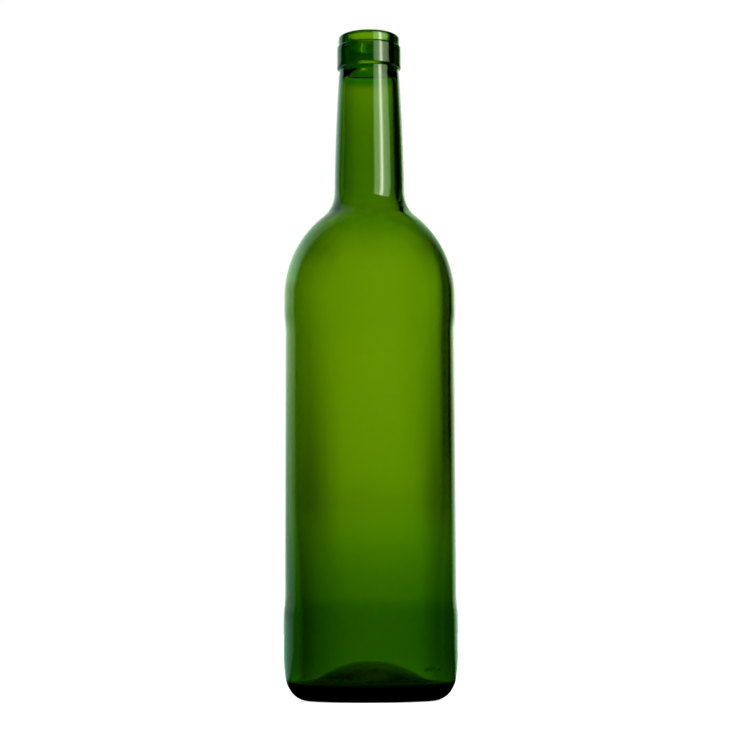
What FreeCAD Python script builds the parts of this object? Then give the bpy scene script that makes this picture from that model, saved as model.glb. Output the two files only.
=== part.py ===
import FreeCAD, Part
import math
import os
import Sketcher

# A bordeaux wine bottle, 75 cl, as one piece of green glass. Units are millimetres.
# +Z is up, the axis is the Z axis, and the origin is the middle of the resting ring.
# +X and -X carry the mould seams, and -Y is the front.

doc = FreeCAD.newDocument("bordeaux_bottle")

# ---------------------------------------------------------------- driving dimensions
SIZES = {
    "bottle_height": 300.0,
    # outside of the body
    "body_diameter": 76.8,
    "heel_radius": 11.5,
    "heel_sweep_radius": 87.0,
    "heel_height": 21.0,
    "heel_band_top": 35.0,
    "panel_recess": 0.7,
    "panel_blend_radius": 50.0,
    "shoulder_height": 180.0,
    "shoulder_band": 5.0,
    "shoulder_radius": 46.2,
    "shoulder_fillet": 16.0,
    # outside of the neck
    "neck_root_height": 215.3,
    "neck_root_diameter": 31.28,
    "neck_top_diameter": 26.8,
    # the finish: a flat band with a narrower lip above it
    "finish_height": 16.2,
    "collar_diameter": 29.1,
    "collar_cove": 0.8,
    "lip_diameter": 27.74,
    "lip_height": 4.7,
    "lip_step": 0.5,
    "lip_round": 1.5,
    # inside
    "wall_thickness": 2.3,
    "wall_swell": 2.0,
    "wall_swell_top": 105.0,
    "wall_swell_radius": 620.0,
    "inner_shoulder_lift": 0.4,
    "shoulder_wall": 2.5,
    "inner_fillet": 18.0,
    "neck_wall_root": 3.25,
    "bore_diameter": 18.5,
    "bore_length": 16.6,
    "bore_ledge": 1.6,
    "bore_ledge_radius": 1.2,
    "bore_flare_radius": 12.0,
    "mouth_round": 1.2,
    # the base
    "punt_depth": 14.0,
    "punt_edge": 1.5,
    "ring_width": 2.8,
    "mound_height": 17.9,
    "trough_height": 7.4,
    "trough_radius": 3.2,
    # bar knurls round the resting ring
    "knurl_count": 72.0,
    "knurl_width": 0.9,
    "knurl_bar_radius": 7.0,
    "knurl_relief": 0.3,
    "knurl_angle": 60.0,
    # short raised mould marks at the heel
    "mark_height": 14.0,
    "mark_radius": 0.55,
    "mark_relief": 0.35,
    "mark_dot": 1.4,
    "mark_dash": 5.6,
    # the ridges that the two halves of the mould leave
    "seam_count": 2.0,
    "seam_relief": 0.12,
    "seam_angle": 0.6,
    "seam_foot": 12.0,
    # degrees
    "full_turn": 360.0,
}

# each heel mark: where it starts, in degrees round the axis from +X, and which length it has
MARKS = [(-51.0, "mark_dot"), (-47.6, "mark_dash"), (-39.6, "mark_dot")]

sheet = doc.addObject("Spreadsheet::Sheet", "Sizes")
for row, (word, number) in enumerate(SIZES.items(), start=1):
    sheet.set("A%d" % row, word)
    sheet.set("B%d" % row, str(number))
    sheet.setAlias("B%d" % row, word)
doc.recompute()


def size(word):
    """The number in the sheet's cell of that name."""
    return float(sheet.get(word))


# ---------------------------------------------------------------- drawing an outline
ORIGIN = (-1, 1)
START, END, CENTRE = 1, 2, 3


def origin_item(body, role):
    """The body's own origin plane or axis with that role."""
    return next(item for item in body.Origin.OriginFeatures if item.Role == role)


class Outline:
    """A closed chain of lines and arcs, drawn across (X) and up (Z) for turning round the axis."""

    def __init__(self, body, name, azimuth=0.0):
        self.sketch = body.newObject("Sketcher::SketchObject", name)
        self.sketch.AttachmentSupport = [(origin_item(body, "XZ_Plane"), "")]
        self.sketch.MapMode = "FlatFace"
        turn = FreeCAD.Rotation(FreeCAD.Vector(0, 1, 0), azimuth)
        self.sketch.AttachmentOffset = FreeCAD.Placement(FreeCAD.Vector(), turn)
        self.pieces = {}

    def line(self, name, start, end):
        edge = Part.LineSegment(FreeCAD.Vector(*start, 0), FreeCAD.Vector(*end, 0))
        self.pieces[name] = (self.sketch.addGeometry(edge), START, END)

    def circle(self, name, centre, radius):
        circle = Part.Circle(FreeCAD.Vector(*centre, 0), FreeCAD.Vector(0, 0, 1), radius)
        self.pieces[name] = (self.sketch.addGeometry(circle), START, END)

    def arc(self, name, centre, radius, first, last):
        """An arc from the angle first to the angle last, in radians; a falling angle turns clockwise."""
        circle = Part.Circle(FreeCAD.Vector(*centre, 0), FreeCAD.Vector(0, 0, 1), radius)
        low, high = sorted((first, last))
        index = self.sketch.addGeometry(Part.ArcOfCircle(circle, low, high))
        self.pieces[name] = (index, START, END) if first < last else (index, END, START)

    def enter(self, name):
        index, entry, leave = self.pieces[name]
        return index, entry

    def leave(self, name):
        index, entry, leave = self.pieces[name]
        return index, leave

    def centre(self, name):
        return self.pieces[name][0], CENTRE

    def rule(self, *words):
        return self.sketch.addConstraint(Sketcher.Constraint(*words))

    def smooth(self, *names):
        """Join the named pieces end to end, each tangent to the next."""
        for first, second in zip(names, names[1:]):
            self.rule("Tangent", *self.leave(first), *self.enter(second))

    def corner(self, *names):
        """Join the named pieces end to end with a corner between them."""
        for first, second in zip(names, names[1:]):
            self.rule("Coincident", *self.leave(first), *self.enter(second))

    def upright(self, *names):
        for name in names:
            self.rule("Vertical", self.pieces[name][0])

    def level(self, *names):
        for name in names:
            self.rule("Horizontal", self.pieces[name][0])

    def drive(self, index, name, formula):
        self.sketch.renameConstraint(index, name)
        self.sketch.setExpression("Constraints." + name, formula)

    def radius(self, name, formula):
        index = self.pieces[name][0]
        now = self.sketch.Geometry[index].Radius
        self.drive(self.rule("Radius", index, now), name + "_radius", formula)

    def across(self, name, place, formula):
        """Hold a point at that distance from the axis; formula is positive on either side."""
        now = self.sketch.getPoint(*place).x
        ends = (*ORIGIN, *place) if now >= 0 else (*place, *ORIGIN)
        self.drive(self.rule("DistanceX", *ends, abs(now)), name + "_across", formula)

    def up(self, name, place, formula):
        now = self.sketch.getPoint(*place).y
        self.drive(self.rule("DistanceY", *ORIGIN, *place, now), name + "_up", formula)


def swerve(radius, shift):
    """The angle through which two equal arcs turn, out and back, to move a wall sideways by shift."""
    return math.acos(1 - shift / (2 * radius))


def circle_between(left, left_reach, right, right_reach):
    """The centre, outside of both, of a circle whose centre lies at the two reaches from the two centres."""
    gap = math.dist(left, right)
    along = (left_reach ** 2 - right_reach ** 2 + gap ** 2) / (2 * gap)
    aside = math.sqrt(left_reach ** 2 - along ** 2)
    east = ((right[0] - left[0]) / gap, (right[1] - left[1]) / gap)
    one = (left[0] + along * east[0] - aside * east[1], left[1] + along * east[1] + aside * east[0])
    two = (left[0] + along * east[0] + aside * east[1], left[1] + along * east[1] - aside * east[0])
    return max(one, two)


def heading(start, end):
    """The angle of the line from start to end."""
    return math.atan2(end[1] - start[1], end[0] - start[0])


def on_circle(centre, radius, angle):
    return (centre[0] + radius * math.cos(angle), centre[1] + radius * math.sin(angle))


def turn_round_axis(body, kind, name, outline, angle="full_turn"):
    """A Revolution or Groove of the outline, round the axis by the angle with that name."""
    doc.recompute()
    if not outline.sketch.FullyConstrained:
        raise RuntimeError(outline.sketch.Name + " is not fully constrained")
    feature = body.newObject("PartDesign::" + kind, name)
    feature.Profile = outline.sketch
    feature.ReferenceAxis = (outline.sketch, ["V_Axis"])
    feature.setExpression("Angle", "Sizes." + angle)
    body.Tip = feature
    doc.recompute()
    return feature


bottle = doc.addObject("PartDesign::Body", "Bottle")
bottle.Label = "bottle"
bottle.Placement = FreeCAD.Placement()


# ---------------------------------------------------------------- outside: heel to neck
def draw_side(o, relief="0"):
    """The side above the heel: heel sweep, band, recessed label panel, shoulder and neck.

    relief names a size by which the whole side stands further out, or is "0".
    """
    raised = relief != "0"
    out = size(relief) if raised else 0.0
    plus, minus = (" + Sizes." + relief, " - Sizes." + relief) if raised else ("", "")
    side = size("body_diameter") / 2
    panel = side - size("panel_recess")
    sweep, fillet, blend = size("heel_sweep_radius"), size("shoulder_fillet"), size("panel_blend_radius")
    band_low, band_top = size("heel_height"), size("heel_band_top")
    shoulder_low, shoulder_up = size("shoulder_height") - size("shoulder_band"), size("shoulder_height")
    neck_low, neck_top = size("neck_root_diameter") / 2, size("neck_top_diameter") / 2
    neck_end = size("bottle_height") - size("finish_height")
    rise, taper = neck_end - size("neck_root_height"), neck_low - neck_top
    bulge = (rise ** 2 + taper ** 2) / (2 * taper)

    turn = swerve(blend, size("panel_recess"))
    climb = 2 * blend * math.sin(turn)
    shoulder_centre = (side - size("shoulder_radius"), shoulder_up)
    neck_centre = (neck_low - bulge, size("neck_root_height"))
    fillet_centre = circle_between(shoulder_centre, size("shoulder_radius") + fillet,
                                   neck_centre, bulge + fillet)
    shoulder_turn = heading(shoulder_centre, fillet_centre)
    neck_start = heading(neck_centre, fillet_centre)
    neck_stop = math.asin(rise / bulge)
    foot = heel_turn() if not raised else math.asin((size("seam_foot") - band_low) / (sweep + out))

    o.arc("heel_sweep", (side - sweep, band_low), sweep + out, foot, 0)
    o.line("heel_band", (side + out, band_low), (side + out, band_top))
    o.arc("panel_foot_out", (side - blend, band_top), blend + out, 0, turn)
    o.arc("panel_foot_in", (panel + blend, band_top + climb), blend - out, math.pi + turn, math.pi)
    o.line("panel", (panel + out, band_top + climb), (panel + out, shoulder_low - climb))
    o.arc("panel_head_in", (panel + blend, shoulder_low - climb), blend - out, math.pi, math.pi - turn)
    o.arc("panel_head_out", (side - blend, shoulder_low), blend + out, -turn, 0)
    o.line("shoulder_band", (side + out, shoulder_low), (side + out, shoulder_up))
    o.arc("shoulder", shoulder_centre, size("shoulder_radius") + out, 0, shoulder_turn)
    o.arc("shoulder_fillet", fillet_centre, fillet - out, math.pi + shoulder_turn, math.pi + neck_start)
    o.arc("neck", neck_centre, bulge + out, neck_start, neck_stop)
    o.line("neck_end", (neck_top + out, neck_end), (0, neck_end))

    o.smooth("heel_sweep", "heel_band", "panel_foot_out", "panel_foot_in", "panel",
             "panel_head_in", "panel_head_out", "shoulder_band", "shoulder", "shoulder_fillet", "neck")
    o.corner("neck", "neck_end")
    o.level("neck_end")
    o.upright("heel_band", "panel", "shoulder_band")
    o.radius("heel_sweep", "Sizes.heel_sweep_radius" + plus)
    o.across("heel_band", o.enter("heel_band"), "Sizes.body_diameter / 2" + plus)
    o.up("heel_top", o.enter("heel_band"), "Sizes.heel_height")
    o.up("band_top", o.leave("heel_band"), "Sizes.heel_band_top")
    for name in ("panel_foot", "panel_head"):
        o.radius(name + "_out", "Sizes.panel_blend_radius" + plus)
        o.radius(name + "_in", "Sizes.panel_blend_radius" + minus)
    o.across("panel", o.enter("panel"), "Sizes.body_diameter / 2 - Sizes.panel_recess" + plus)
    o.across("shoulder_band", o.enter("shoulder_band"), "Sizes.body_diameter / 2" + plus)
    o.up("shoulder_low", o.enter("shoulder_band"), "Sizes.shoulder_height - Sizes.shoulder_band")
    o.up("shoulder", o.leave("shoulder_band"), "Sizes.shoulder_height")
    o.radius("shoulder", "Sizes.shoulder_radius" + plus)
    o.radius("shoulder_fillet", "Sizes.shoulder_fillet" + minus)
    o.up("neck_root", o.centre("neck"), "Sizes.neck_root_height")
    o.across("neck_top", o.leave("neck"), "Sizes.neck_top_diameter / 2" + plus)
    o.up("neck_end", o.leave("neck"), "Sizes.bottle_height - Sizes.finish_height")
    rise_words = "(Sizes.bottle_height - Sizes.finish_height - Sizes.neck_root_height)"
    taper_words = "((Sizes.neck_root_diameter - Sizes.neck_top_diameter) / 2)"
    o.radius("neck", "(%s ^ 2 + %s ^ 2) / (2 * %s)" % (rise_words, taper_words, taper_words) + plus)


def heel_centre():
    """The centre of the heel's small arc, which meets the table and the long sweep above it."""
    heel, sweep = size("heel_radius"), size("heel_sweep_radius")
    drop = size("heel_height") - heel
    return (size("body_diameter") / 2 - sweep + math.sqrt((sweep - heel) ** 2 - drop ** 2), heel)


def heel_turn():
    """The angle at which the heel's small arc runs into the sweep."""
    sweep_centre = (size("body_diameter") / 2 - size("heel_sweep_radius"), size("heel_height"))
    return heading(sweep_centre, heel_centre())


def draw_outside():
    """The whole outside from the resting ring to the top of the neck."""
    o = Outline(bottle, "OutsideSketch")
    draw_side(o)
    o.line("base", (0, 0), (heel_centre()[0], 0))
    o.arc("heel", heel_centre(), size("heel_radius"), -math.pi / 2, heel_turn())
    o.line("axis", (0, size("bottle_height") - size("finish_height")), (0, 0))
    o.rule("Coincident", *o.enter("base"), *ORIGIN)
    o.smooth("base", "heel", "heel_sweep")
    o.corner("neck_end", "axis", "base")
    o.level("base")
    o.upright("axis")
    o.radius("heel", "Sizes.heel_radius")
    return o


def draw_seam():
    """The side again, a hair further out, from above the heel to the finish: one mould seam's ridge."""
    azimuth = size("seam_angle") / 2
    o = Outline(bottle, "SeamSketch", azimuth)
    draw_side(o, "seam_relief")
    foot = size("seam_foot")
    reach = size("heel_sweep_radius") + size("seam_relief")
    inward = size("body_diameter") / 2 - size("heel_sweep_radius")
    foot_across = inward + math.sqrt(reach ** 2 - (size("heel_height") - foot) ** 2)
    o.line("foot", (0, foot), (foot_across, foot))
    o.line("axis", (0, size("bottle_height") - size("finish_height")), (0, foot))
    o.corner("neck_end", "axis", "foot", "heel_sweep")
    o.level("foot")
    o.upright("axis")
    o.rule("PointOnObject", *o.enter("foot"), -2)
    o.up("foot", o.enter("foot"), "Sizes.seam_foot")
    return o


# ---------------------------------------------------------------- outside: the finish
def draw_finish():
    """The flat band round the mouth and the narrower lip above it."""
    neck, collar, lip = size("neck_top_diameter") / 2, size("collar_diameter") / 2, size("lip_diameter") / 2
    cove, step, rounding = size("collar_cove"), size("lip_step"), size("lip_round")
    top = size("bottle_height")
    low, lip_low = top - size("finish_height"), top - size("lip_height")
    cove_turn, step_turn = swerve(cove, collar - neck), swerve(step, collar - lip)
    collar_low = low + 2 * cove * math.sin(cove_turn)
    collar_top = lip_low - 2 * step * math.sin(step_turn)

    o = Outline(bottle, "FinishSketch")
    o.line("foot", (0, low), (neck, low))
    o.arc("cove_in", (neck + cove, low), cove, math.pi, math.pi - cove_turn)
    o.arc("cove_out", (collar - cove, collar_low), cove, -cove_turn, 0)
    o.line("collar", (collar, collar_low), (collar, collar_top))
    o.arc("step_out", (collar - step, collar_top), step, 0, step_turn)
    o.arc("step_in", (lip + step, lip_low), step, math.pi + step_turn, math.pi)
    o.line("lip", (lip, lip_low), (lip, top - rounding))
    o.arc("lip_round", (lip - rounding, top - rounding), rounding, 0, math.pi / 2)
    o.line("top", (lip - rounding, top), (0, top))
    o.line("axis", (0, top), (0, low))

    o.corner("axis", "foot", "cove_in")
    o.smooth("cove_in", "cove_out", "collar", "step_out", "step_in", "lip", "lip_round", "top")
    o.corner("top", "axis")
    o.level("foot", "top")
    o.upright("collar", "lip", "axis")
    o.rule("PointOnObject", *o.enter("axis"), -2)
    o.up("foot", o.enter("foot"), "Sizes.bottle_height - Sizes.finish_height")
    o.across("foot", o.leave("foot"), "Sizes.neck_top_diameter / 2")
    o.rule("Horizontal", *o.centre("cove_in"), *o.leave("foot"))
    for name in ("cove_in", "cove_out"):
        o.radius(name, "Sizes.collar_cove")
    for name in ("step_out", "step_in"):
        o.radius(name, "Sizes.lip_step")
    o.across("collar", o.enter("collar"), "Sizes.collar_diameter / 2")
    o.across("lip", o.enter("lip"), "Sizes.lip_diameter / 2")
    o.up("lip_low", o.enter("lip"), "Sizes.bottle_height - Sizes.lip_height")
    o.radius("lip_round", "Sizes.lip_round")
    o.up("top", o.enter("top"), "Sizes.bottle_height")
    return o


# ---------------------------------------------------------------- inside
def draw_hollow():
    """The inside: mound over the punt, trough, thickening wall, shoulder, neck, cork bore and mouth."""
    wall = size("body_diameter") / 2 - size("panel_recess") - size("wall_thickness")
    # the wall swells towards the base, out of true and back again by two equal arcs
    swell, swell_top, shift = size("wall_swell_radius"), size("wall_swell_top"), size("wall_swell")
    swell_turn = swerve(swell, shift)
    swell_low = swell_top - 2 * swell * math.sin(swell_turn)
    foot_wall = wall - shift
    trough, mound_top = size("trough_radius"), size("mound_height")
    trough_up = size("trough_height") + trough
    trough_centre = (foot_wall - trough, trough_up)
    sink = trough_up - mound_top
    mound = (trough_centre[0] ** 2 + sink ** 2 - trough ** 2) / (2 * (trough - sink))
    mound_centre = (0, mound_top - mound)
    mound_turn = heading(mound_centre, trough_centre)

    # the wall bellies out behind the shoulder band as the outside does
    band, blend = wall + size("panel_recess"), size("panel_blend_radius")
    turn = swerve(blend, size("panel_recess"))
    climb = 2 * blend * math.sin(turn)
    band_low = size("shoulder_height") - size("shoulder_band")
    shoulder, fillet = size("shoulder_radius") - size("shoulder_wall"), size("inner_fillet")
    shoulder_up = size("shoulder_height") + size("inner_shoulder_lift")
    shoulder_centre = (band - shoulder, shoulder_up)
    top, bore, mouth = size("bottle_height"), size("bore_diameter") / 2, size("mouth_round")
    ledge, flare = size("bore_ledge_radius"), size("bore_flare_radius")
    ledge_up = top - size("bore_length")
    neck_low = (size("neck_root_diameter") / 2 - size("neck_wall_root"), size("neck_root_height"))
    neck_high = (bore + size("bore_ledge"), top - size("finish_height"))
    lean = heading(neck_low, neck_high) - math.pi / 2
    # the fillet's centre lies one fillet from the neck line and touches the shoulder from outside
    foot = (neck_low[0] + fillet * math.cos(lean), neck_low[1] + fillet * math.sin(lean))
    offset = (foot[0] - shoulder_centre[0], foot[1] - shoulder_centre[1])
    run = (-math.sin(lean), math.cos(lean))
    across = offset[0] * run[0] + offset[1] * run[1]
    reach = across ** 2 - (offset[0] ** 2 + offset[1] ** 2) + (shoulder + fillet) ** 2
    slide = math.sqrt(reach) - across
    fillet_centre = (foot[0] + slide * run[0], foot[1] + slide * run[1])
    shoulder_turn = heading(shoulder_centre, fillet_centre)
    neck_start = on_circle(fillet_centre, fillet, math.pi + lean)
    # the ledge: out of the sloping neck line by a long flare, then sharply up into the bore
    ledge_centre = (bore + ledge, ledge_up)
    toward = ledge_centre[0] - neck_low[0], ledge_centre[1] - neck_low[1]
    aside = toward[0] * math.cos(lean) + toward[1] * math.sin(lean)
    along = toward[0] * run[0] + toward[1] * run[1]
    back = math.sqrt((ledge + flare) ** 2 - (aside + flare) ** 2)
    hip = (neck_low[0] + (along - back) * run[0], neck_low[1] + (along - back) * run[1])
    hip_centre = (hip[0] - flare * math.cos(lean), hip[1] - flare * math.sin(lean))
    ledge_turn = heading(hip_centre, ledge_centre)

    o = Outline(bottle, "HollowSketch")
    o.arc("mound", mound_centre, mound, math.pi / 2, mound_turn)
    o.arc("trough", trough_centre, trough, mound_turn - math.pi, 0)
    o.line("foot_wall", (foot_wall, trough_up), (foot_wall, swell_low))
    o.arc("swell_out", (foot_wall + swell, swell_low), swell, math.pi, math.pi - swell_turn)
    o.arc("swell_back", (wall - swell, swell_top), swell, -swell_turn, 0)
    o.line("wall", (wall, swell_top), (wall, band_low - climb))
    o.arc("wall_out", (wall + blend, band_low - climb), blend, math.pi, math.pi - turn)
    o.arc("wall_back", (band - blend, band_low), blend, -turn, 0)
    o.line("band", (band, band_low), (band, shoulder_up))
    o.arc("shoulder", shoulder_centre, shoulder, 0, shoulder_turn)
    o.arc("fillet", fillet_centre, fillet, math.pi + shoulder_turn, math.pi + lean)
    o.line("neck", neck_start, hip)
    o.arc("flare", hip_centre, flare, lean, ledge_turn)
    o.arc("ledge", ledge_centre, ledge, math.pi + ledge_turn, math.pi)
    o.line("bore", (bore, ledge_up), (bore, top - mouth))
    o.arc("mouth", (bore + mouth, top - mouth), mouth, math.pi, math.pi / 2)
    o.line("top", (bore + mouth, top), (0, top))
    o.line("axis", (0, top), (0, mound_top))

    o.smooth("mound", "trough", "foot_wall", "swell_out", "swell_back", "wall", "wall_out", "wall_back",
             "band", "shoulder", "fillet", "neck", "flare", "ledge", "bore", "mouth")
    o.corner("mouth", "top", "axis", "mound")
    o.level("top")
    o.upright("foot_wall", "wall", "band", "bore", "axis")
    o.rule("PointOnObject", *o.enter("mound"), -2)
    o.rule("PointOnObject", *o.centre("mound"), -2)
    o.up("mound", o.enter("mound"), "Sizes.mound_height")
    o.radius("trough", "Sizes.trough_radius")
    o.up("trough", o.centre("trough"), "Sizes.trough_height + Sizes.trough_radius")
    o.radius("swell_out", "Sizes.wall_swell_radius")
    o.radius("swell_back", "Sizes.wall_swell_radius")
    wall_words = "Sizes.body_diameter / 2 - Sizes.panel_recess - Sizes.wall_thickness"
    o.across("foot_wall", o.enter("foot_wall"), wall_words + " - Sizes.wall_swell")
    o.across("wall", o.enter("wall"), wall_words)
    o.up("wall_low", o.enter("wall"), "Sizes.wall_swell_top")
    o.radius("wall_out", "Sizes.panel_blend_radius")
    o.radius("wall_back", "Sizes.panel_blend_radius")
    o.across("band", o.enter("band"), "Sizes.body_diameter / 2 - Sizes.wall_thickness")
    o.up("band_low", o.enter("band"), "Sizes.shoulder_height - Sizes.shoulder_band")
    o.up("band_high", o.leave("band"), "Sizes.shoulder_height + Sizes.inner_shoulder_lift")
    o.radius("shoulder", "Sizes.shoulder_radius - Sizes.shoulder_wall")
    o.radius("fillet", "Sizes.inner_fillet")
    # a dropped line sets the slope of the neck's inside between its two wall thicknesses
    guide = o.sketch.addGeometry(Part.LineSegment(FreeCAD.Vector(*neck_low, 0),
                                                  FreeCAD.Vector(*neck_high, 0)), True)
    o.across("neck_low", (guide, START), "Sizes.neck_root_diameter / 2 - Sizes.neck_wall_root")
    o.up("neck_low", (guide, START), "Sizes.neck_root_height")
    o.across("neck_high", (guide, END), "Sizes.bore_diameter / 2 + Sizes.bore_ledge")
    o.up("neck_high", (guide, END), "Sizes.bottle_height - Sizes.finish_height")
    o.rule("PointOnObject", *o.enter("neck"), guide)
    o.rule("PointOnObject", *o.leave("neck"), guide)
    o.radius("flare", "Sizes.bore_flare_radius")
    o.radius("ledge", "Sizes.bore_ledge_radius")
    o.up("bore_low", o.enter("bore"), "Sizes.bottle_height - Sizes.bore_length")
    o.across("bore", o.enter("bore"), "Sizes.bore_diameter / 2")
    o.radius("mouth", "Sizes.mouth_round")
    o.rule("Vertical", *o.centre("mouth"), *o.leave("mouth"))
    o.up("top", o.enter("top"), "Sizes.bottle_height")
    return o


def draw_punt():
    """The domed hollow under the base, with a rounded edge where it meets the resting ring."""
    depth, edge = size("punt_depth"), size("punt_edge")
    ring = heel_centre()[0] - size("ring_width")
    dome = (ring ** 2 + depth ** 2 - 2 * depth * edge) / (2 * depth)
    dome_centre = (0, depth - dome)
    edge_centre = (ring, edge)
    turn = heading(dome_centre, edge_centre)

    o = Outline(bottle, "PuntSketch")
    o.arc("dome", dome_centre, dome, math.pi / 2, turn)
    o.arc("edge", edge_centre, edge, math.pi + turn, 3 * math.pi / 2)
    o.line("base", (ring, 0), (0, 0))
    o.line("axis", (0, 0), (0, depth))

    o.smooth("dome", "edge")
    o.corner("edge", "base", "axis", "dome")
    o.level("base")
    o.upright("axis")
    o.rule("Coincident", *o.enter("axis"), *ORIGIN)
    o.rule("PointOnObject", *o.centre("dome"), -2)
    o.up("dome", o.enter("dome"), "Sizes.punt_depth")
    o.radius("edge", "Sizes.punt_edge")
    o.rule("Vertical", *o.centre("edge"), *o.leave("edge"))
    # the flat ring lies between this edge and the foot of the heel's small arc
    sweep_words = "(Sizes.heel_sweep_radius - Sizes.heel_radius)"
    drop_words = "(Sizes.heel_height - Sizes.heel_radius)"
    heel_words = ("Sizes.body_diameter / 2 - Sizes.heel_sweep_radius + sqrt(%s ^ 2 - %s ^ 2)"
                  % (sweep_words, drop_words))
    o.across("ring", o.leave("edge"), heel_words + " - Sizes.ring_width")
    return o


# ---------------------------------------------------------------- mould details
def draw_knurl():
    """A disc whose rim stands out of the heel as one short radial bar, just clear of the table."""
    reach = size("heel_radius") + size("knurl_relief") - size("knurl_bar_radius")
    centre = on_circle(heel_centre(), reach, -math.radians(size("knurl_angle")))
    o = Outline(bottle, "KnurlSketch")
    o.circle("bar", centre, size("knurl_bar_radius"))
    o.radius("bar", "Sizes.knurl_bar_radius")
    inward_words = ("sqrt((Sizes.heel_sweep_radius - Sizes.heel_radius) ^ 2"
                    " - (Sizes.heel_height - Sizes.heel_radius) ^ 2)")
    reach_words = "(Sizes.heel_radius + Sizes.knurl_relief - Sizes.knurl_bar_radius)"
    o.across("bar", o.centre("bar"), "Sizes.body_diameter / 2 - Sizes.heel_sweep_radius + %s"
             " + %s * cos(Sizes.knurl_angle)" % (inward_words, reach_words))
    o.up("bar", o.centre("bar"), "Sizes.heel_radius - %s * sin(Sizes.knurl_angle)" % reach_words)
    return o


def repeat_round_axis(name, feature, count):
    """A PolarPattern of the feature, evenly round the axis."""
    ring = bottle.newObject("PartDesign::PolarPattern", name)
    ring.Originals = [feature]
    ring.Axis = (origin_item(bottle, "Z_Axis"), [""])
    ring.Angle = 360.0
    ring.setExpression("Occurrences", "Sizes." + count)
    bottle.Tip = ring
    doc.recompute()


def add_knurls():
    """Bar knurls all round the heel, where the hot bottle first stands."""
    bar = bottle.newObject("PartDesign::Pad", "Knurl")
    bar.Profile = draw_knurl().sketch
    bar.Midplane = True
    bar.setExpression("Length", "Sizes.knurl_width")
    doc.recompute()
    repeat_round_axis("Knurls", bar, "knurl_count")


def add_seams():
    """The two seams where the halves of the mould met."""
    seam = turn_round_axis(bottle, "Revolution", "Seam", draw_seam(), "seam_angle")
    repeat_round_axis("Seams", seam, "seam_count")


def draw_mark(name, azimuth):
    """The half-round section of one raised mould mark, sunk into the heel up to its relief."""
    side, sweep = size("body_diameter") / 2, size("heel_sweep_radius")
    surface = side - (size("heel_height") - size("mark_height")) ** 2 / (2 * sweep)
    radius = size("mark_radius")
    o = Outline(bottle, name, azimuth)
    o.circle("mark", (surface + size("mark_relief") - radius, size("mark_height")), radius)
    o.radius("mark", "Sizes.mark_radius")
    o.across("mark", o.centre("mark"),
             "Sizes.body_diameter / 2 - (Sizes.heel_height - Sizes.mark_height) ^ 2"
             " / (2 * Sizes.heel_sweep_radius) + Sizes.mark_relief - Sizes.mark_radius")
    o.up("mark", o.centre("mark"), "Sizes.mark_height")
    return o


def add_marks():
    """A row of short raised dashes on the heel, each turned a few degrees round the axis."""
    for number, (azimuth, length) in enumerate(MARKS, start=1):
        mark = draw_mark("MarkSketch%d" % number, azimuth)
        turn_round_axis(bottle, "Revolution", "Mark%d" % number, mark, length)


turn_round_axis(bottle, "Revolution", "Outside", draw_outside())
turn_round_axis(bottle, "Revolution", "Finish", draw_finish())
add_seams()
add_knurls()
add_marks()
turn_round_axis(bottle, "Groove", "Hollow", draw_hollow())
turn_round_axis(bottle, "Groove", "Punt", draw_punt())


# ---------------------------------------------------------------- check and write
doc.recompute()
for item in doc.Objects:
    if "Invalid" in item.State or "Error" in item.State:
        raise RuntimeError(item.Name + " failed: " + ", ".join(item.State))
os.makedirs("parts", exist_ok=True)
for part in (bottle,):
    if part.Shape.isNull() or not part.Shape.isValid() or len(part.Shape.Solids) != 1:
        raise RuntimeError(part.Label + " is not one valid solid")
    part.Shape.exportStep(os.path.join("parts", part.Label + ".step"))
    box = part.Shape.optimalBoundingBox()
    print(part.Label, "%.2f x %.2f x %.2f mm" % (box.XLength, box.YLength, box.ZLength),
          "glass %.1f ml" % (part.Shape.Volume / 1000))
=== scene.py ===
import math

import bmesh
import bpy
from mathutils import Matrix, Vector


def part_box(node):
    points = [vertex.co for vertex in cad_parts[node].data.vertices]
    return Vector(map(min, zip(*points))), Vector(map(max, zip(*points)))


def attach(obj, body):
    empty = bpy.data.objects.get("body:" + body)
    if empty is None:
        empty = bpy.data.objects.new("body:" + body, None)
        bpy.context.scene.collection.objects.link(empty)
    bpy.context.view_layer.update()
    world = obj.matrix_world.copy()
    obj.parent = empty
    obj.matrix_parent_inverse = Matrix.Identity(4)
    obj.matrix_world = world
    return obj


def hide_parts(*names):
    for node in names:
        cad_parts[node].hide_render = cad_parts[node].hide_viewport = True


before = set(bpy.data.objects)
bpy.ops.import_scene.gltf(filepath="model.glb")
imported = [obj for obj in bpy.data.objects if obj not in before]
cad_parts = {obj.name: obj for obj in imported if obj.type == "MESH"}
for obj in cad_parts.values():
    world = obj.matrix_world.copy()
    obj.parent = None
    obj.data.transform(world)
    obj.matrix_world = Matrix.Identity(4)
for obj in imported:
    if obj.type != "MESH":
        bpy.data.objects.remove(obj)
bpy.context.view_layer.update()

# An empty bordeaux bottle of yellow-green glass. Sizes here are millimetres unless they say otherwise;
# the axis of the bottle is Z, the front is -Y and the mould seams face +X and -X.
MM = 0.001
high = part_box("bottle")[1]

# outside
TOP = high[2] / MM
SIDE = high[1] / MM
PANEL = SIDE - 0.7
HEEL_RADIUS, HEEL_HEIGHT, HEEL_SWEEP = 11.5, 21.0, 87.0
BAND_TOP, PANEL_BLEND = 35.0, 50.0
SHOULDER_UP, SHOULDER_BAND, SHOULDER_RADIUS, SHOULDER_FILLET = 180.0, 5.0, 46.2, 16.0
NECK_ROOT_UP, NECK_ROOT, NECK_TOP = 215.3, 15.64, 13.4
NECK_END = TOP - 16.2
COLLAR, COLLAR_COVE = 14.55, 0.8
LIP, LIP_LOW, LIP_STEP, LIP_ROUND = 13.87, TOP - 4.7, 0.5, 1.5
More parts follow.
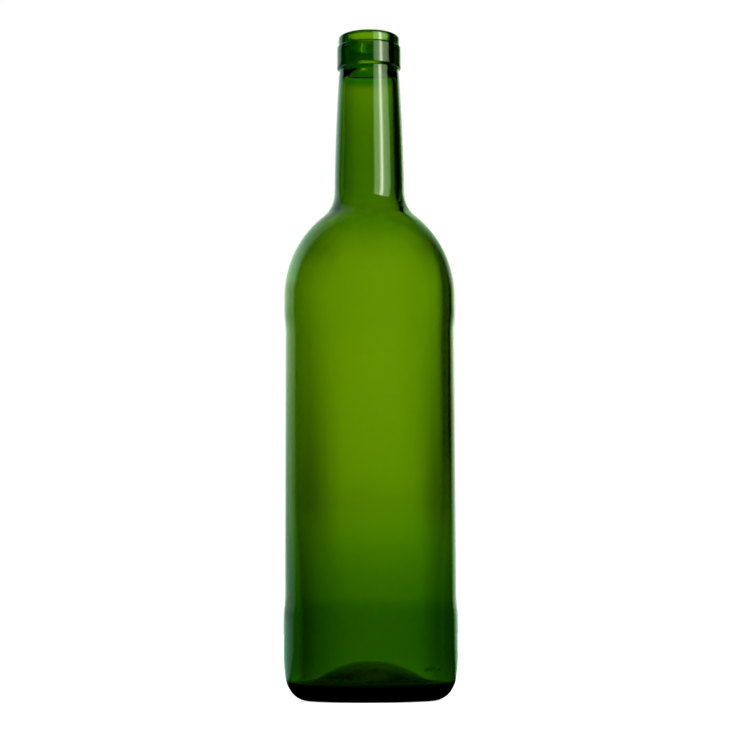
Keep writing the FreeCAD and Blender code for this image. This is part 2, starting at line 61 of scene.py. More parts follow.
# inside
WALL = PANEL - 2.3
SWELL, SWELL_TOP, SWELL_RADIUS = 2.0, 105.0, 620.0
INNER_BAND = SIDE - 2.3
INNER_SHOULDER_UP, INNER_SHOULDER, INNER_FILLET = 180.4, 43.7, 18.0
BORE, BORE_END, MOUTH_ROUND = 9.25, TOP - 16.6, 1.2
LEDGE, LEDGE_ROUND, FLARE = 1.6, 1.2, 12.0
NECK_WALL = 3.25
MOUND_UP, TROUGH_UP, TROUGH = 17.9, 7.4, 3.2
# underside
PUNT_UP, PUNT_EDGE, RING_WIDTH = 14.0, 1.5, 2.8
# mould details. The marks are given by where each starts and ends, in degrees about Z from +X
SEAM_HALF = math.radians(0.3)
SEAM_RELIEF, SEAM_FOOT, SEAM_END = 0.11, 12.0, NECK_END - 0.5
STEPS_BETWEEN_SEAMS = 108
STEPS_PER_KNURL, KNURL_STEP = 3, 1
KNURL_RELIEF, KNURL_ANGLE, KNURL_REACH = 0.28, math.radians(60), math.radians(26)
MARK_UP, MARK_HALF_HEIGHT, MARK_RELIEF = 14.0, 0.55, 0.35
MARK_TIERS = (0.925, 0.775, 0.65)
MARKS = [(-51.0, -49.6), (-47.6, -42.0), (-39.6, -38.2)]
MARK_PATCH, MARK_MARGIN, MARK_CUTS = 2.2, 1.0, 4
# bubbles in the glass, by place and radius
SEEDS = [((-5.4, -11.4, 279.4), 0.5), ((0.9, -13.0, 257.5), 0.2), ((-5.6, -12.0, 262.8), 0.16)]
# unevenness of the blown glass, and finer waves all over, whose number is per metre
RIPPLE, RIPPLE_WIDTH, RIPPLE_FOOT = 0.16, 40.0, TROUGH_UP - 0.1
WAVE, WAVES = 0.006, 90.0
# glass
GLASS_TINT, GLASS_DENSITY, GLASS_IOR = (0.68, 0.816, 0.0, 1), 1300.0, 1.52
# how far off a point may be and still count as on a line, on a surface or on the outside
ON_LINE, ON_SURFACE, OUTSIDE_DEPTH = 0.01, 0.05, 2.0
WELD = 0.002

WHITE, BLACK = (1, 1, 1, 1), (0, 0, 0, 1)
# lit tent: light or colour by height, or by bearing in degrees from straight back, more to the right
TENT_REACH, TENT_FOOT, TENT_TOP = 60.0, 0.5, 420.0
TENT_LOW = [(-180, 0.4), (-120, 0.5), (-90, 1.1), (-62, 1.1), (-51, 0.6), (-45, 0.2), (-32, 0.56),
            (-12, 0.9), (26, 1.05), (33, 0.9), (44, 0.6), (60, 0.8), (90, 0.6), (120, 0.5), (180, 0.4)]
TENT_HIGH = [(-180, 0.9), (-90, 1.1), (-62, 1.1), (-51, 0.8), (-46.5, 0.38), (-40, 0.43), (-32, 0.6),
             (-25, 0.76), (-12, 0.9), (13, 0.98), (26, 0.9), (37, 0.74), (41, 0.42), (44, 0.04),
             (45, 0.02), (57, 0.02), (62, 0.02), (70, 0.1), (72, 0.02), (88, 0.02), (96, 0.9), (180, 0.9)]
TENT_HIGH_SHARE = [(0, 0), (60, 0), (90, 0.5), (120, 1.0), (200, 1.0)]
TENT_SIDES = [(-180, 0), (-75, 0), (-55, 1), (-30, 1), (-14, 0), (22, 0), (36, 1), (60, 1), (80, 0),
              (180, 0)]
TENT_SIDES_LIGHT = [(0, 1), (60, 1), (85, 0.6), (98, 0.52), (115, 0.62), (138, 0.82), (165, 1.05),
                    (192, 1.3), (203, 1.05), (213, 0.64), (226, 0.7), (240, 1), (420, 1)]
TENT_COLOURS = [(0, (1.0, 1.1, 0.3)), (60, (1.2, 1.1, 0.3)), (72, (1.1, 1.05, 0.3)),
                (88, (0.8, 0.83, 0.3)), (115, (0.85, 0.86, 0.3)), (160, (1.0, 0.95, 0.3)),
                (205, (0.9, 0.9, 0.3)), (216, (0.77, 0.82, 0.3)), (226, (0.5, 0.64, 0.3)),
                (232, (0.4, 0.6, 0.3)), (242, (0.9, 0.85, 0.3)), (285, (1.05, 0.95, 0.3)),
                (290, (0.9, 0.85, 0.3)), (294, (0.55, 0.6, 0.3)), (300, (0.14, 0.6, 0.3)),
                (304, (0.12, 0.7, 0.3)), (312, (0.25, 0.9, 0.3)), (315, (1.05, 0.97, 0.3)),
                (420, (1.2, 1.2, 0.3))]
# backdrop that the outside of the glass mirrors, by bearing and by the sine of the elevation
ROOM_LOW = [(-90, 0.0), (-60, 0.0), (-54, (0.32, 0.4, 0.3)), (-15, (0.88, 1.1, 0.84)),
            (0, (1.4, 1.8, 1.37)), (13, (1.5, 1.8, 1.4)), (21, (1.0, 1.4, 0.8)), (28, (0.8, 1.25, 0.45)),
            (38, 0.0), (90, 0.0)]
ROOM_HIGH = [(-90, 0.0), (-64, 0.0), (-57, (0.5, 0.9, 0.6)), (-46, (0.6, 1.1, 0.8)),
             (-15, (0.88, 1.2, 0.92)), (0, (1.2, 1.5, 1.2)), (13, (1.2, 1.4, 1.1)),
             (21, (0.9, 1.2, 0.8)), (28, (0.7, 1.0, 0.6)), (43, 0.0), (90, 0.0)]
ROOM_HIGH_SHARE = [(0, 0.0), (0.17, 0.0), (0.25, 1.0), (1, 1.0)]
ROOM_LEFT = [(0, (0.45, 0.72, 0.72)), (0.04, (0.42, 0.55, 0.52)), (0.1, (0.62, 0.72, 0.7)),
             (0.15, 1.0), (0.35, 1.0), (0.55, 0.7), (0.75, 0.35), (0.95, 0.0), (1, 0.0)]
ROOM_RIGHT = [(0, (0.4, 0.55, 0.6)), (0.1, 0.6), (0.15, 0.9), (0.27, 1.0), (0.34, (0.5, 0.7, 0.5)),
              (0.58, (0.5, 0.8, 0.5)), (0.7, 0.0), (1, 0.0)]
ROOM_RIGHT_WIDER = [(0, 0.0), (0.42, 0.0), (0.62, 0.1), (0.8, 0.8), (1, 1.0)]
# floor: its side in metres, and its light by the reach from the axis, also in metres
FLOOR_SIZE, FLOOR_GLOW, FLOOR_PAINT = 12.0, 0.75, (0.9, 0.9, 0.9, 1)
# painted shadow: seen through the glass, the floor's light drops to near dark towards the axis, where the
# bottle stands
FLOOR_THROUGH_GLASS_PAINTED_SHADOW = [(0, 0.06), (0.03, 0.1), (0.045, 0.6), (0.06, 1.0), (0.1, 1.0)]
# painted shade: mirrored in the glass, the floor's light is nothing near the bottle and rises further out
FLOOR_MIRRORED_PAINTED_SHADE = [(0, 0.0), (0.04, 0.0), (0.16, 1.1), (1, 1.0)]
FLOOR_LEFT, FLOOR_RIGHT = (0.45, 0.75, 0.75), (0.4, 0.6, 0.65)
FLOOR_SIDES = [(-90, FLOOR_LEFT), (-1, FLOOR_LEFT), (1, FLOOR_RIGHT), (90, FLOOR_RIGHT)]
# softbox and the flags below it, which start at the front. Their angles are degrees about Z from +X
FRONT = -90.0
SOFTBOX_REACH, SOFTBOX_LOW, SOFTBOX_HIGH = 300.0, 274.6, 520.0
SOFTBOX_LEVELS = [(-76, 0.02), (-70, 0.25), (-56, 0.29), (-50, 0.9), (-46, 1.0), (-38, 0.3), (-19, 0.2),
                  (-13, 0.02)]
SOFTBOX_EDGE, SOFTBOX_CORE, SOFTBOX_POWER = (0.62, 1.0, 0.45, 1), (1.0, 0.98, 0.8, 1), 14.0
FLAG_INNER, FLAG_MIDDLE = (16.5, 218.5), (45.0, 224.1)
NEAR_FLAG_LAST, FAR_FLAG_LAST = -34.0, -2.0
SECTOR_STEPS = 48
# camera, in front of the bottle, its tilt and roll in degrees
CAMERA_PLACE, CAMERA_TILT, CAMERA_ROLL = (1.88, -920.0, 33.33), 96.879, 0.2
LENS, SENSOR = 99.2, 36.0


# ---------------------------------------------------------------- geometry of the outline
def swerve(radius, shift):
    """The turn of two equal arcs, out and back, that move a wall sideways by shift."""
    return math.acos(1 - shift / (2 * radius))


def heading(start, end):
    """The direction from one (across, up) place to another, in radians."""
    return math.atan2(end[1] - start[1], end[0] - start[0])


def circle_between(first, first_reach, second, second_reach):
    """The outer one of the two points at those reaches from two centres."""
    gap = math.dist(first, second)
    along = (first_reach ** 2 - second_reach ** 2 + gap ** 2) / (2 * gap)
    aside = math.sqrt(first_reach ** 2 - along ** 2)
    run = ((second[0] - first[0]) / gap, (second[1] - first[1]) / gap)
    one = (first[0] + along * run[0] - aside * run[1], first[1] + along * run[1] + aside * run[0])
    two = (first[0] + along * run[0] + aside * run[1], first[1] + along * run[1] - aside * run[0])
    return max(one, two)


def circle_to_line(start, lean, radius, centre, reach):
    """The centre of a circle that lies right of a line with that lean and at that reach from centre."""
    foot = (start[0] + radius * math.cos(lean), start[1] + radius * math.sin(lean))
    offset = (foot[0] - centre[0], foot[1] - centre[1])
    run = (-math.sin(lean), math.cos(lean))
    along = offset[0] * run[0] + offset[1] * run[1]
    slide = math.sqrt(along ** 2 - offset[0] ** 2 - offset[1] ** 2 + reach ** 2) - along
    return (foot[0] + slide * run[0], foot[1] + slide * run[1])


def heel_centre():
    """The centre of the heel's small arc, which meets the table and the long sweep above it."""
    inward = math.sqrt((HEEL_SWEEP - HEEL_RADIUS) ** 2 - (HEEL_HEIGHT - HEEL_RADIUS) ** 2)
    return (SIDE - HEEL_SWEEP + inward, HEEL_RADIUS)


# ---------------------------------------------------------------- drawing with the mesh tools
def start_point(name, across, up):
    """A new mesh of one point, in edit mode, from which an outline is drawn."""
    bpy.ops.object.select_all(action="DESELECT")
    bpy.ops.mesh.primitive_plane_add(size=MM, location=(0, 0, 0))
    piece = bpy.context.object
    piece.name = name
    piece.data.name = name
    bpy.ops.object.mode_set(mode="EDIT")
    bpy.ops.mesh.select_all(action="SELECT")
    bpy.ops.mesh.merge(type="CENTER")
    bpy.ops.transform.translate(value=(across * MM, 0, up * MM))
    return piece


def tip():
    """Where the outline has got to: across and up, in millimetres."""
    mesh = bmesh.from_edit_mesh(bpy.context.object.data)
    point = next(v for v in mesh.verts if v.select).co
    return point.x / MM, point.z / MM


def straight(across, up, pitch=4.0):
    """Draw a straight run to that place."""
    now = tip()
    steps = max(1, round(math.dist(now, (across, up)) / pitch))
    step = ((across - now[0]) * MM / steps, 0, (up - now[1]) * MM / steps)
    for _ in range(steps):
        bpy.ops.mesh.extrude_vertices_move(TRANSFORM_OT_translate={"value": step})


def bend(centre, last, pitch=1.5, least=4):
    """Draw an arc round centre until it stands at the angle last, the short way round."""
    now = tip()
    turn = math.remainder(last - heading(centre, now), math.tau)
    steps = max(least, math.ceil(math.dist(centre, now) * abs(turn) / pitch))
    bpy.ops.mesh.spin(steps=steps, angle=turn, center=(centre[0] * MM, 0, centre[1] * MM), axis=(0, 1, 0))


def draw_underside():
    """From the top of the punt down its dome and round its edge to the resting ring."""
    ring = heel_centre()[0] - RING_WIDTH
    dome = (ring ** 2 + PUNT_UP ** 2 - 2 * PUNT_UP * PUNT_EDGE) / (2 * PUNT_UP)
    dome_centre, edge_centre = (0, PUNT_UP - dome), (ring, PUNT_EDGE)
    turn = heading(dome_centre, edge_centre)
    bend(dome_centre, turn)
    bend(edge_centre, -math.pi / 2, pitch=0.4)


def draw_outside():
    """Across the resting ring, then up the heel, the recessed panel, the shoulder and the neck."""
    sweep_centre = (SIDE - HEEL_SWEEP, HEEL_HEIGHT)
    straight(heel_centre()[0], 0)
    bend(heel_centre(), heading(sweep_centre, heel_centre()), pitch=0.75)
    bend(sweep_centre, 0, pitch=1.6)
    turn = swerve(PANEL_BLEND, SIDE - PANEL)
    climb = 2 * PANEL_BLEND * math.sin(turn)
    shoulder_low = SHOULDER_UP - SHOULDER_BAND
    straight(SIDE, BAND_TOP)
    bend((SIDE - PANEL_BLEND, BAND_TOP), turn)
    bend((PANEL + PANEL_BLEND, BAND_TOP + climb), math.pi)
    straight(PANEL, shoulder_low - climb)
    bend((PANEL + PANEL_BLEND, shoulder_low - climb), math.pi - turn)
    bend((SIDE - PANEL_BLEND, shoulder_low), 0)
    straight(SIDE, SHOULDER_UP, pitch=2.5)

    rise, taper = NECK_END - NECK_ROOT_UP, NECK_ROOT - NECK_TOP
    bulge = (rise ** 2 + taper ** 2) / (2 * taper)
    shoulder_centre = (SIDE - SHOULDER_RADIUS, SHOULDER_UP)
    neck_centre = (NECK_ROOT - bulge, NECK_ROOT_UP)
    fillet_centre = circle_between(shoulder_centre, SHOULDER_RADIUS + SHOULDER_FILLET,
                                   neck_centre, bulge + SHOULDER_FILLET)
    bend(shoulder_centre, heading(shoulder_centre, fillet_centre))
    bend(fillet_centre, math.pi + heading(neck_centre, fillet_centre), pitch=1.0)
    bend(neck_centre, math.asin(rise / bulge), pitch=2.5)


def draw_finish():
    """Round the cove, up the flat band, in to the lip and over it to the mouth."""
    cove_turn, step_turn = swerve(COLLAR_COVE, COLLAR - NECK_TOP), swerve(LIP_STEP, COLLAR - LIP)
    collar_low = NECK_END + 2 * COLLAR_COVE * math.sin(cove_turn)
    collar_top = LIP_LOW - 2 * LIP_STEP * math.sin(step_turn)
    bend((NECK_TOP + COLLAR_COVE, NECK_END), math.pi - cove_turn, pitch=0.3, least=5)
    bend((COLLAR - COLLAR_COVE, collar_low), 0, pitch=0.3, least=5)
    straight(COLLAR, collar_top, pitch=2)
    bend((COLLAR - LIP_STEP, collar_top), step_turn, pitch=0.3, least=5)
    bend((LIP + LIP_STEP, LIP_LOW), math.pi, pitch=0.3, least=5)
    straight(LIP, TOP - LIP_ROUND, pitch=2)
    bend((LIP - LIP_ROUND, TOP - LIP_ROUND), math.pi / 2, pitch=0.3)
    straight(BORE + MOUTH_ROUND, TOP)
    bend((BORE + MOUTH_ROUND, TOP - MOUTH_ROUND), math.pi, pitch=0.3)


def draw_inside():
    """From the mouth down the cork bore, past its ledge, down the neck and wall to the mound."""
    swell_turn = swerve(SWELL_RADIUS, SWELL)
    swell_low = SWELL_TOP - 2 * SWELL_RADIUS * math.sin(swell_turn)
    trough_up = TROUGH_UP + TROUGH
    trough_centre = (WALL - SWELL - TROUGH, trough_up)
    sink = trough_up - MOUND_UP
    mound = (trough_centre[0] ** 2 + sink ** 2 - TROUGH ** 2) / (2 * (TROUGH - sink))
    mound_centre = (0, MOUND_UP - mound)

    turn = swerve(PANEL_BLEND, INNER_BAND - WALL)
    climb = 2 * PANEL_BLEND * math.sin(turn)
    band_low = SHOULDER_UP - SHOULDER_BAND
    shoulder_centre = (INNER_BAND - INNER_SHOULDER, INNER_SHOULDER_UP)
    neck_low = (NECK_ROOT - NECK_WALL, NECK_ROOT_UP)
    lean = heading(neck_low, (BORE + LEDGE, NECK_END)) - math.pi / 2
    fillet_centre = circle_to_line(neck_low, lean, INNER_FILLET,
                                   shoulder_centre, INNER_SHOULDER + INNER_FILLET)
    ledge_centre = (BORE + LEDGE_ROUND, BORE_END)
    toward = (ledge_centre[0] - neck_low[0], ledge_centre[1] - neck_low[1])
    aside = toward[0] * math.cos(lean) + toward[1] * math.sin(lean)
    along = toward[1] * math.cos(lean) - toward[0] * math.sin(lean)
    along -= math.sqrt((LEDGE_ROUND + FLARE) ** 2 - (aside + FLARE) ** 2)
    hip = (neck_low[0] - along * math.sin(lean), neck_low[1] + along * math.cos(lean))
    hip_centre = (hip[0] - FLARE * math.cos(lean), hip[1] - FLARE * math.sin(lean))
    neck_foot = (fillet_centre[0] - INNER_FILLET * math.cos(lean),
                 fillet_centre[1] - INNER_FILLET * math.sin(lean))

    straight(BORE, BORE_END, pitch=3)
    bend(ledge_centre, math.pi + heading(hip_centre, ledge_centre), pitch=0.3)
    bend(hip_centre, lean, pitch=1.0)
    straight(*neck_foot, pitch=3)
    bend(fillet_centre, math.pi + heading(shoulder_centre, fillet_centre), pitch=1.1)
    bend(shoulder_centre, 0, pitch=1.7)
    straight(INNER_BAND, band_low, pitch=2.5)
    bend((INNER_BAND - PANEL_BLEND, band_low), -turn)
    bend((WALL + PANEL_BLEND, band_low - climb), math.pi)
    straight(WALL, SWELL_TOP)
    bend((WALL - SWELL_RADIUS, SWELL_TOP), -swell_turn, pitch=3.5)
    bend((WALL - SWELL + SWELL_RADIUS, swell_low), math.pi, pitch=3.5)
    straight(WALL - SWELL, trough_up)
    bend(trough_centre, heading(mound_centre, trough_centre) - math.pi, pitch=0.5)
    bend(mound_centre, math.pi / 2)


# ---------------------------------------------------------------- choosing places on the glass
def choose(wanted):
    """Select the points for which wanted(point) is true."""
    mesh = bmesh.from_edit_mesh(bpy.context.object.data)
    for point in mesh.verts:
        point.select = wanted(point)
    mesh.select_flush_mode()
    bmesh.update_edit_mesh(bpy.context.object.data)


def azimuth(place):
    """The angle of a place about the axis, in radians from +X."""
    return math.atan2(place.y, place.x)


def step_from_seam(place):
    """How many turning steps a point lies from the edge of the last seam."""
    past = azimuth(place) % math.pi
    return round((past - SEAM_HALF) / ((math.pi - 2 * SEAM_HALF) / STEPS_BETWEEN_SEAMS))


def turn_full_circle():
    """Turn the outline all the way round, with a narrow strip on either side of each mould seam."""
    bpy.ops.mesh.select_all(action="SELECT")
    turns = [(1, SEAM_HALF), (STEPS_BETWEEN_SEAMS, math.pi - 2 * SEAM_HALF), (1, SEAM_HALF)] * 2
    for steps, turn in turns:
        bpy.ops.mesh.spin(steps=steps, angle=turn, center=(0, 0, 0), axis=(0, 0, 1))
    bpy.ops.mesh.select_all(action="SELECT")
    bpy.ops.mesh.remove_doubles(threshold=WELD * MM)
    bpy.ops.mesh.normals_make_consistent(inside=False)


def on_knurl(place):
    """Whether a place is on the one step of every few that stands out."""
    return step_from_seam(place) % STEPS_PER_KNURL == KNURL_STEP


def raise_knurls():
    """Short radial bars round the heel, each of which stands out most at its middle."""
    across = heel_centre()[0]
    rows = {}
    mesh = bmesh.from_edit_mesh(bpy.context.object.data)
    for point in mesh.verts:
        place = point.co / MM
        reach = math.hypot(place.x, place.y) - across
        off_heel = math.hypot(reach, place.z - HEEL_RADIUS) - HEEL_RADIUS
        if place.z > HEEL_RADIUS or abs(off_heel) > ON_SURFACE:
            continue
        off = (math.atan2(HEEL_RADIUS - place.z, reach) - KNURL_ANGLE) / KNURL_REACH
        if abs(off) < 1 and on_knurl(place):
            rows.setdefault(round(place.z, 2), 1 - off ** 2)
    for height, share in rows.items():
        choose(lambda point: abs(point.co.z / MM - height) < ON_LINE
               and point.co.xy.length / MM > across and on_knurl(point.co))
        bpy.ops.transform.shrink_fatten(value=KNURL_RELIEF * share * MM)


def raise_seams():
    """The fine ridge on either side, where the halves of the mould met."""
    def on_crest(point):
        place = point.co / MM
        outside = point.normal.x * place.x > 0
        return abs(place.y) < ON_LINE and outside and SEAM_FOOT < place.z < SEAM_END
    choose(on_crest)
    bpy.ops.transform.shrink_fatten(value=SEAM_RELIEF * MM)


def off_mark(place):
    """How far a place on the heel lies from the middle line of the nearest mark."""
    side = math.degrees(azimuth(place))
    aside = min(max(start - side, side - end, 0) for start, end in MARKS)
    return math.hypot(math.radians(aside) * SIDE, place.z - MARK_UP)


def raise_marks():
    """A dot, a dash and a dot on the heel, such as a mould's number ring leaves, raised in tiers."""
    first = math.radians(MARKS[0][0] - MARK_MARGIN)
    last = math.radians(MARKS[-1][1] + MARK_MARGIN)

    def on_outside(place):
        return place.xy.length > SIDE - OUTSIDE_DEPTH

    def near_marks(point):
        place = point.co / MM
        return first < azimuth(place) < last and abs(place.z - MARK_UP) < MARK_PATCH and on_outside(place)
    choose(near_marks)
    bpy.ops.mesh.subdivide(number_cuts=MARK_CUTS)
    for tier in MARK_TIERS:
        def in_tier(point):
            place = point.co / MM
            return on_outside(place) and off_mark(place) < MARK_HALF_HEIGHT * tier
        choose(in_tier)
        bpy.ops.transform.shrink_fatten(value=MARK_RELIEF / len(MARK_TIERS) * MM)


def add_seeds():
    """Small bubbles caught in the glass: closed hollows, so their faces point into the air in them."""
    for place, radius in SEEDS:
        bpy.ops.mesh.select_all(action="DESELECT")
        bpy.ops.mesh.primitive_uv_sphere_add(segments=16, ring_count=10, radius=radius * MM,
                                             location=[number * MM for number in place])
        bpy.ops.mesh.flip_normals()


def ripple_inside(piece):
    """The inside and the top of the punt are blown, not moulded, so they are a little uneven."""
    cloud = bpy.data.textures.new("blown wall", "CLOUDS")
    cloud.noise_scale = RIPPLE_WIDTH * MM
    cloud.noise_depth = 1
    uneven = piece.modifiers.new("uneven wall", "DISPLACE")
    uneven.texture = cloud
    uneven.texture_coords = "LOCAL"
    uneven.vertex_group = "inside"
    uneven.mid_level = 0.5
    uneven.strength = RIPPLE * MM
    bpy.ops.object.modifier_apply(modifier=uneven.name)


def make_bottle():
    """One closed skin of glass: the outline turned, then the mould's details and the bubbles."""
    bottle = start_point("glass_bottle", 0, PUNT_UP)
    draw_underside()
    draw_outside()
    draw_finish()
    draw_inside()
    turn_full_circle()
    raise_seams()
    raise_knurls()
    raise_marks()

    def is_blown(point):
        place = point.co / MM
        outward = point.normal.x * place.x + point.normal.y * place.y
        within = place.xy.length < WALL + ON_SURFACE
        return outward < 0 and within and RIPPLE_FOOT < place.z < BORE_END
    choose(is_blown)
    inside = bottle.vertex_groups.new(name="inside")
    bottle.vertex_groups.active_index = inside.index
    bpy.ops.object.vertex_group_assign()
    bpy.ops.object.mode_set(mode="OBJECT")
    ripple_inside(bottle)
    bpy.ops.object.mode_set(mode="EDIT")
    add_seeds()
    bpy.ops.object.mode_set(mode="OBJECT")
    bpy.ops.object.shade_smooth()
    return bottle


# ---------------------------------------------------------------- materials
def new_material(name):
    """A material with an empty tree but for its output."""
    material = bpy.data.materials.new(name)
    material.use_nodes = True
    material.node_tree.nodes.clear()
    return material, material.node_tree, add_node(material.node_tree, "ShaderNodeOutputMaterial")


def add_node(tree, kind, **settings):
    """A new node with those settings."""
    node = tree.nodes.new(kind)
    for name, value in settings.items():
        setattr(node, name, value)
    return node


def feed(tree, socket, value):
    """Give an input a fixed value, or link it to a node's output."""
    if isinstance(value, bpy.types.NodeSocket):
        tree.links.new(value, socket)
    else:
        socket.default_value = value


def maths(tree, operation, *values):
    """One step of arithmetic on numbers or node outputs."""
    node = add_node(tree, "ShaderNodeMath", operation=operation)
    for socket, value in zip(node.inputs, values):
        feed(tree, socket, value)
    return node.outputs[0]


def mix(tree, factor, first, second, blend="MIX"):
    """Two colours mixed, each a fixed colour or a node output."""
    node = add_node(tree, "ShaderNodeMix", data_type="RGBA", blend_type=blend)
    feed(tree, node.inputs["Factor"], factor)
    feed(tree, node.inputs["A"], first)
    feed(tree, node.inputs["B"], second)
    return node.outputs["Result"]


def ramp(tree, value, stops):
    """Light read off a curve of (place, brightness or colour) stops, level beyond its ends."""
    low, high = stops[0][0], stops[-1][0]
    share = add_node(tree, "ShaderNodeMapRange")
    feed(tree, share.inputs["From Min"], low)
    feed(tree, share.inputs["From Max"], high)
    feed(tree, share.inputs["Value"], value)
    curve = add_node(tree, "ShaderNodeValToRGB")
    points = curve.color_ramp.elements
    while len(points) < len(stops):
        points.new(1.0)
    for point, (place, bright) in zip(points, stops):
        point.position = (place - low) / (high - low)
        point.color = (*bright, 1) if isinstance(bright, tuple) else (bright, bright, bright, 1)
    tree.links.new(share.outputs[0], curve.inputs[0])
    return curve.outputs["Color"]


def coordinates(tree, kind):
    """The X, Y and Z of a texture coordinate: metres on a piece, a direction in the room."""
    parts = add_node(tree, "ShaderNodeSeparateXYZ")
    tree.links.new(add_node(tree, "ShaderNodeTexCoord").outputs[kind], parts.inputs[0])
    return parts.outputs


def degrees(tree, aside, along):
    """The angle in degrees between the along axis and a place, towards the aside axis."""
    return maths(tree, "DEGREES", maths(tree, "ARCTAN2", aside, along))


def light(tree, colour, strength):
    """A surface that shines by itself."""
    shine = add_node(tree, "ShaderNodeEmission")
    feed(tree, shine.inputs["Color"], colour)
    feed(tree, shine.inputs["Strength"], strength)
    return shine.outputs[0]


def paint(tree, colour):
    """A matt surface of that colour."""
    matt = add_node(tree, "ShaderNodeBsdfDiffuse")
    feed(tree, matt.inputs["Color"], colour)
    return matt.outputs[0]


def make_glass():
    """Clear yellow-green glass that takes its colour from its thickness."""
    material, tree, output = new_material("yellow_green_glass")
    glass = add_node(tree, "ShaderNodeBsdfPrincipled")
    glass.inputs["Base Color"].default_value = WHITE
    glass.inputs["Roughness"].default_value = 0.0
    glass.inputs["IOR"].default_value = GLASS_IOR
    glass.inputs["Transmission Weight"].default_value = 1.0
    waves = add_node(tree, "ShaderNodeTexNoise")
    waves.inputs["Scale"].default_value = WAVES
    waves.inputs["Detail"].default_value = 1.0
    tree.links.new(add_node(tree, "ShaderNodeTexCoord").outputs["Object"], waves.inputs["Vector"])
    uneven = add_node(tree, "ShaderNodeBump")
    uneven.inputs["Strength"].default_value = 1.0
    uneven.inputs["Distance"].default_value = WAVE * MM
    tree.links.new(waves.outputs["Fac"], uneven.inputs["Height"])
    tree.links.new(uneven.outputs["Normal"], glass.inputs["Normal"])
    tree.links.new(glass.outputs["BSDF"], output.inputs["Surface"])
    colour = add_node(tree, "ShaderNodeVolumeAbsorption")
    colour.inputs["Color"].default_value = GLASS_TINT
    colour.inputs["Density"].default_value = GLASS_DENSITY
    tree.links.new(colour.outputs["Volume"], output.inputs["Volume"])
    return material


# ---------------------------------------------------------------- stage
def mirrored_ray(tree, rays):
    """One for a ray thrown back by the outside of the glass, zero for any other."""
    return maths(tree, "MULTIPLY", rays.outputs["Is Glossy Ray"],
                 maths(tree, "SUBTRACT", 1.0, rays.outputs["Is Transmission Ray"]))


def stage_for(piece, rays):
    """Let only one kind of ray meet a piece: "transmission" through the glass, or "glossy" off it."""
    for kind in ("camera", "diffuse", "glossy", "transmission", "volume_scatter", "shadow"):
        setattr(piece, "visible_" + kind, kind == rays)


def turned_sector(name, ends, first, last):
    """A straight line between two (across, up) ends, turned about Z between two angles in degrees."""
    piece = start_point(name, *ends[0])
    straight(*ends[1], pitch=math.inf)
    bpy.ops.mesh.select_all(action="SELECT")
    bpy.ops.transform.rotate(value=-math.radians(first), orient_axis="Z", center_override=(0, 0, 0))
    bpy.ops.mesh.spin(steps=SECTOR_STEPS, angle=-math.radians(last - first), center=(0, 0, 0),
                      axis=(0, 0, 1))
    bpy.ops.object.mode_set(mode="OBJECT")
    return piece


def make_floor():
    """A floor that is white to the camera. Seen through the glass it has a painted shadow, dark where the
    bottle stands on it, and in the glass as a mirror it carries on the backdrop's light, with painted
    shade that fades it out near the bottle."""
    bpy.ops.object.select_all(action="DESELECT")
    bpy.ops.mesh.primitive_plane_add(size=FLOOR_SIZE, location=(0, 0, 0))
    floor = bpy.context.object
    floor.name = "floor"
    material, tree, output = new_material("white floor")
    rays = add_node(tree, "ShaderNodeLightPath")
    mirrored = mirrored_ray(tree, rays)
    x, y, _ = coordinates(tree, "Object")
    side = degrees(tree, x, y)
    squares = [maths(tree, "MULTIPLY", part, part) for part in (x, y)]
    reach = maths(tree, "SQRT", maths(tree, "ADD", *squares))
    # painted shadow and shade: the curves by reach darken the floor's light near the bottle, through the
    # glass and mirrored in it
    glow = 0.0
    for ray, level in ((rays.outputs["Is Camera Ray"], FLOOR_GLOW),
                       (rays.outputs["Is Transmission Ray"], ramp(tree, reach, FLOOR_THROUGH_GLASS_PAINTED_SHADOW)),
                       (mirrored, ramp(tree, reach, FLOOR_MIRRORED_PAINTED_SHADE))):
        glow = maths(tree, "ADD", glow, maths(tree, "MULTIPLY", ray, level))
    backdrop = mix(tree, 1.0, ramp(tree, side, ROOM_LOW), ramp(tree, side, FLOOR_SIDES), "MULTIPLY")
    surface = add_node(tree, "ShaderNodeMixShader")
    tree.links.new(maths(tree, "MAXIMUM", rays.outputs["Is Glossy Ray"],
                         rays.outputs["Is Transmission Ray"]), surface.inputs[0])
    tree.links.new(paint(tree, FLOOR_PAINT), surface.inputs[1])
    tree.links.new(paint(tree, BLACK), surface.inputs[2])
    both = add_node(tree, "ShaderNodeAddShader")
    tree.links.new(surface.outputs[0], both.inputs[0])
    tree.links.new(light(tree, mix(tree, mirrored, WHITE, backdrop), glow), both.inputs[1])
    tree.links.new(both.outputs[0], output.inputs["Surface"])
    floor.data.materials.append(material)


def make_tent():
    """A tube of lit cloth round the bottle that gives what shows through the glass: its light goes by
    bearing, with one curve low down and one above, and its colour by height."""
    tent = turned_sector("tent", [(TENT_REACH, TENT_FOOT), (TENT_REACH, TENT_TOP)], 0, 360)
    material, tree, output = new_material("lit cloth")
    x, y, z = coordinates(tree, "Object")
    side = degrees(tree, x, y)
    height = maths(tree, "DIVIDE", z, MM)
    level = mix(tree, ramp(tree, height, TENT_HIGH_SHARE),
                ramp(tree, side, TENT_LOW), ramp(tree, side, TENT_HIGH))
    change = maths(tree, "SUBTRACT", ramp(tree, height, TENT_SIDES_LIGHT), 1.0)
    sides = maths(tree, "ADD", maths(tree, "MULTIPLY", ramp(tree, side, TENT_SIDES), change), 1.0)
    cloth = light(tree, ramp(tree, height, TENT_COLOURS), maths(tree, "MULTIPLY", level, sides))
    tree.links.new(cloth, output.inputs["Surface"])
    tent.data.materials.append(material)
    stage_for(tent, "transmission")


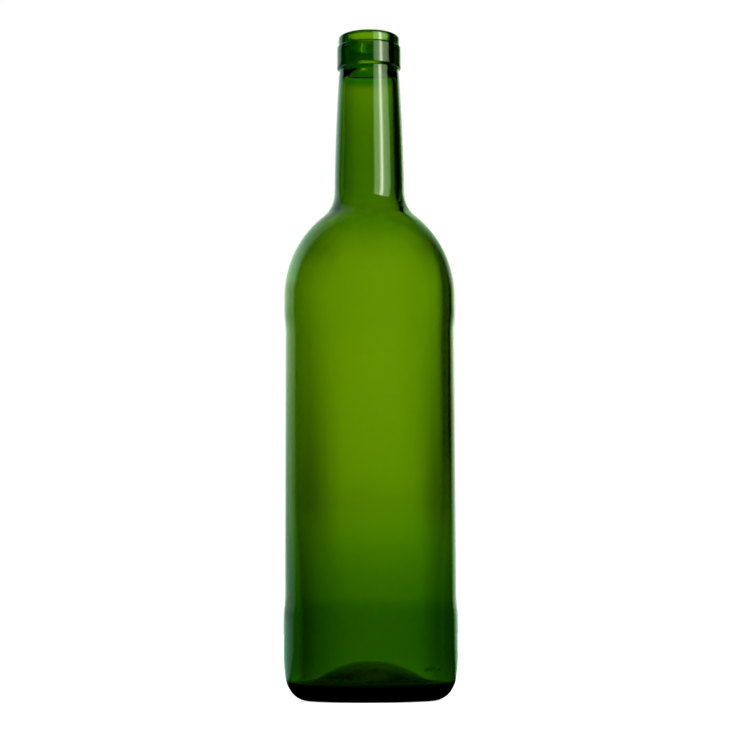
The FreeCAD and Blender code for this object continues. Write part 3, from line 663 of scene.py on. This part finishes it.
def make_softbox():
    """A lamp up at the right front, which shows as one stroke on the neck."""
    first, last = SOFTBOX_LEVELS[0][0], SOFTBOX_LEVELS[-1][0]
    softbox = turned_sector("softbox", [(SOFTBOX_REACH, SOFTBOX_LOW), (SOFTBOX_REACH, SOFTBOX_HIGH)],
                            first, last)
    material, tree, output = new_material("softbox")
    x, y, _ = coordinates(tree, "Object")
    level = ramp(tree, degrees(tree, y, x), SOFTBOX_LEVELS)
    lamp = light(tree, mix(tree, level, SOFTBOX_EDGE, SOFTBOX_CORE),
                 maths(tree, "MULTIPLY", level, SOFTBOX_POWER))
    tree.links.new(lamp, output.inputs["Surface"])
    softbox.data.materials.append(material)
    stage_for(softbox, "glossy")


def make_flags():
    """Two black cones below the softbox, which keep its light off the shoulder."""
    material, tree, output = new_material("black flag")
    tree.links.new(paint(tree, BLACK), output.inputs["Surface"])
    for name, ends, last in (("near_flag", (FLAG_INNER, FLAG_MIDDLE), NEAR_FLAG_LAST),
                             ("far_flag", (FLAG_MIDDLE, (SOFTBOX_REACH, SOFTBOX_LOW)), FAR_FLAG_LAST)):
        flag = turned_sector(name, ends, FRONT, last)
        flag.data.materials.append(material)
        stage_for(flag, "glossy")


def make_room():
    """A white room. The outside of the glass mirrors a dark one instead, with a backdrop whose left
    and right halves differ in height and whose right half widens upwards."""
    world = bpy.data.worlds.new("white room")
    bpy.context.scene.world = world
    world.use_nodes = True
    tree = world.node_tree
    tree.nodes.clear()
    x, y, up = coordinates(tree, "Generated")
    side = degrees(tree, x, y)
    right_hand = maths(tree, "GREATER_THAN", side, 0.0)
    wider = maths(tree, "MULTIPLY", right_hand, ramp(tree, up, ROOM_RIGHT_WIDER))
    bearing = maths(tree, "DIVIDE", side, maths(tree, "ADD", wider, 1.0))
    around = mix(tree, ramp(tree, up, ROOM_HIGH_SHARE),
                 ramp(tree, bearing, ROOM_LOW), ramp(tree, bearing, ROOM_HIGH))
    height = mix(tree, right_hand, ramp(tree, up, ROOM_LEFT), ramp(tree, up, ROOM_RIGHT))
    backdrop = mix(tree, 1.0, around, height, "MULTIPLY")
    mirrored = mirrored_ray(tree, add_node(tree, "ShaderNodeLightPath"))
    room = add_node(tree, "ShaderNodeBackground")
    tree.links.new(mix(tree, mirrored, WHITE, backdrop), room.inputs["Color"])
    output = add_node(tree, "ShaderNodeOutputWorld")
    tree.links.new(room.outputs[0], output.inputs["Surface"])


def make_camera():
    """Low in front of the bottle, tilted up a little."""
    bpy.ops.object.camera_add(location=[number * MM for number in CAMERA_PLACE],
                              rotation=(math.radians(CAMERA_TILT), math.radians(CAMERA_ROLL), 0))
    camera = bpy.context.object
    camera.data.lens = LENS
    camera.data.sensor_width = SENSOR
    bpy.context.scene.camera = camera


bottle = make_bottle()
bottle.data.materials.clear()
bottle.data.materials.append(make_glass())
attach(bottle, "root")
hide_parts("bottle")
make_floor()
make_tent()
make_softbox()
make_flags()
make_room()
make_camera()
bpy.context.scene.view_settings.view_transform = "Standard"
